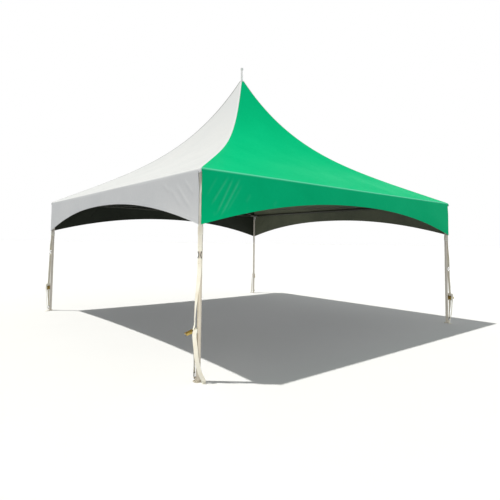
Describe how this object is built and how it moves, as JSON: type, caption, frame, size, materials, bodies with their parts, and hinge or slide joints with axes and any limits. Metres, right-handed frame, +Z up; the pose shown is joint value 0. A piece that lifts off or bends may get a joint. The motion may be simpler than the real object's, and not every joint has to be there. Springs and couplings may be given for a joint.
{
  "type": "marquee tent",
  "caption": "Square high-peak frame marquee with a concave green and white vinyl roof, arched valances, legs on round feet and a tensioning strap at each corner.",
  "frame": {"origin": "on the ground under the centre mast, in the middle of the square of four legs", "axes": "+Z up; the front, a green side in the picture, faces -Y, and the left, a white side in the picture, faces -X"},
  "size_m": [6.2884, 6.233, 5.41],
  "materials": {
    "green_vinyl": "satin coated vinyl, welded, with a dark block-out inner face",
    "white_vinyl": "satin coated vinyl, welded, with a dark block-out inner face",
    "cream_paint": "satin cream powder coat on aluminium tube",
    "zinc_steel": "passivated zinc plating, slightly yellow",
    "webbing": "woven polyester webbing",
    "grey_plastic": "moulded grey plastic"
  },
  "bodies": {
    "tent": {"roof_panel_front": "green_vinyl", "valance_front": "green_vinyl", "eave_rail_front": "cream_paint", "roof_panel_right": "white_vinyl", "valance_right": "white_vinyl", "eave_rail_right": "cream_paint", "roof_panel_back": "green_vinyl", "valance_back": "green_vinyl", "eave_rail_back": "cream_paint", "roof_panel_left": "white_vinyl", "valance_left": "white_vinyl", "eave_rail_left": "cream_paint", "mast": "cream_paint", "mast_cap": "grey_plastic", "mast_hub": "zinc_steel", "peak_collar": "zinc_steel", "corner_fitting_front_left": "zinc_steel", "leg_front_left": "cream_paint", "cross_cable_front_left": "zinc_steel", "upper_strap_front_left": "webbing", "ratchet_strap_front_left": "webbing", "anchor_strap_front_left": "webbing", "ratchet_frame_front_left": "zinc_steel", "strap_tail_front_left": "webbing", "corner_fitting_front_right": "zinc_steel", "leg_front_right": "cream_paint", "cross_cable_front_right": "zinc_steel", "upper_strap_front_right": "webbing", "ratchet_strap_front_right": "webbing", "anchor_strap_front_right": "webbing", "ratchet_frame_front_right": "zinc_steel", "strap_tail_front_right": "webbing", "corner_fitting_back_right": "zinc_steel", "leg_back_right": "cream_paint", "cross_cable_back_right": "zinc_steel", "upper_strap_back_right": "webbing", "ratchet_strap_back_right": "webbing", "anchor_strap_back_right": "webbing", "ratchet_frame_back_right": "zinc_steel", "strap_tail_back_right": "webbing", "corner_fitting_back_left": "zinc_steel", "leg_back_left": "cream_paint", "cross_cable_back_left": "zinc_steel", "upper_strap_back_left": "webbing", "ratchet_strap_back_left": "webbing", "anchor_strap_back_left": "webbing", "ratchet_frame_back_left": "zinc_steel", "strap_tail_back_left": "webbing"},
    "handle_front_left": {"ratchet_handle_front_left": "zinc_steel"},
    "handle_front_right": {"ratchet_handle_front_right": "zinc_steel"},
    "handle_back_right": {"ratchet_handle_back_right": "zinc_steel"},
    "handle_back_left": {"ratchet_handle_back_left": "zinc_steel"}
  },
  "joints": [
    {"name": "handle_hinge_front_left", "type": "hinge", "parent": "tent", "child": "handle_front_left", "pos_m": [-3.04773, -2.9828, 0.57], "axis": [0.2924, 0.9563, 0], "range_deg": [-55, 65]},
    {"name": "handle_hinge_front_right", "type": "hinge", "parent": "tent", "child": "handle_front_right", "pos_m": [3.04043, -3.04043, 0.57], "axis": [-0.2588, -0.9659, 0], "range_deg": [-28, 92]},
    {"name": "handle_hinge_back_right", "type": "hinge", "parent": "tent", "child": "handle_back_right", "pos_m": [3.03477, 3.03477, 0.57], "axis": [0.7071, -0.7071, 0], "range_deg": [-12, 108]},
    {"name": "handle_hinge_back_left", "type": "hinge", "parent": "tent", "child": "handle_back_left", "pos_m": [-3.04043, 3.04043, 0.57], "axis": [0.9659, 0.2588, 0], "range_deg": [-12, 108]}
  ]
}
